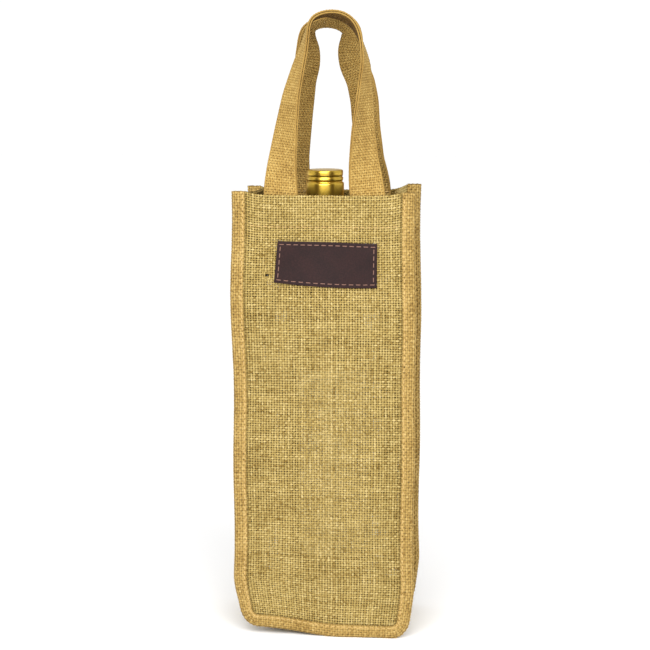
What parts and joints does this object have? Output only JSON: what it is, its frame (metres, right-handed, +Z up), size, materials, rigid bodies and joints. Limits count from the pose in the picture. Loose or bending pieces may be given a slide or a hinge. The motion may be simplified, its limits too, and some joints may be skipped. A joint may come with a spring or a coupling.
{
  "type": "wine gift bag",
  "caption": "Jute wine gift bag with bound seams, two strap handles and a leather patch, holding a tall bottle with a gold screw cap.",
  "frame": {"origin": "centre of the bag's base, at the height of the surface that it stands on", "axes": "+Z up out of the bag's mouth, -Y towards the front with the leather patch, +X to the right seen from the front"},
  "size_m": [0.14, 0.0895, 0.4847],
  "materials": {
    "jute": "open plain weave jute",
    "jute_tape": "close woven jute tape",
    "jute_strap": "doubled jute webbing",
    "patch_leather": "dark brown, soft sheen",
    "patch_thread": "reddish brown thread",
    "seam_thread": "tan thread",
    "bottle_glass": "dark green, clear",
    "wine": "liquid",
    "cap_metal": "gold lacquer",
    "liner": "matte",
    "label_paper": "matte"
  },
  "bodies": {
    "bag": {"front_panel": "jute", "back_panel": "jute", "left_gusset": "jute", "right_gusset": "jute", "base_panel": "jute", "front_binding": "jute_tape", "back_binding": "jute_tape", "leather_patch": "patch_leather", "patch_stitching": "patch_thread", "front_hem_stitching": "seam_thread", "back_hem_stitching": "seam_thread", "gusset_hem_stitching": "seam_thread", "front_binding_stitching": "seam_thread", "back_binding_stitching": "seam_thread", "front_handle_ends": "jute_strap", "back_handle_ends": "jute_strap", "front_handle_stitching": "seam_thread", "back_handle_stitching": "seam_thread"},
    "front_handle_loop": {"front_handle": "jute_strap"},
    "back_handle_loop": {"back_handle": "jute_strap"},
    "bottle": {"bottle_glass": "bottle_glass", "bottle_wine": "wine", "screw_cap": "cap_metal", "cap_liner": "liner", "front_label": "label_paper", "back_label": "label_paper"}
  },
  "joints": [
    {"name": "front_handle_fold", "type": "hinge", "parent": "bag", "child": "front_handle_loop", "pos_m": [0, -0.0429, 0.35], "axis": [1, 0, 0], "range_deg": [0, 165]},
    {"name": "back_handle_fold", "type": "hinge", "parent": "bag", "child": "back_handle_loop", "pos_m": [0, 0.0429, 0.35], "axis": [-1, 0, 0], "range_deg": [0, 165]},
    {"name": "bottle_lift", "type": "slide", "parent": "bag", "child": "bottle", "axis": [0, 0, 1], "range_m": [0, 0.085]}
  ]
}
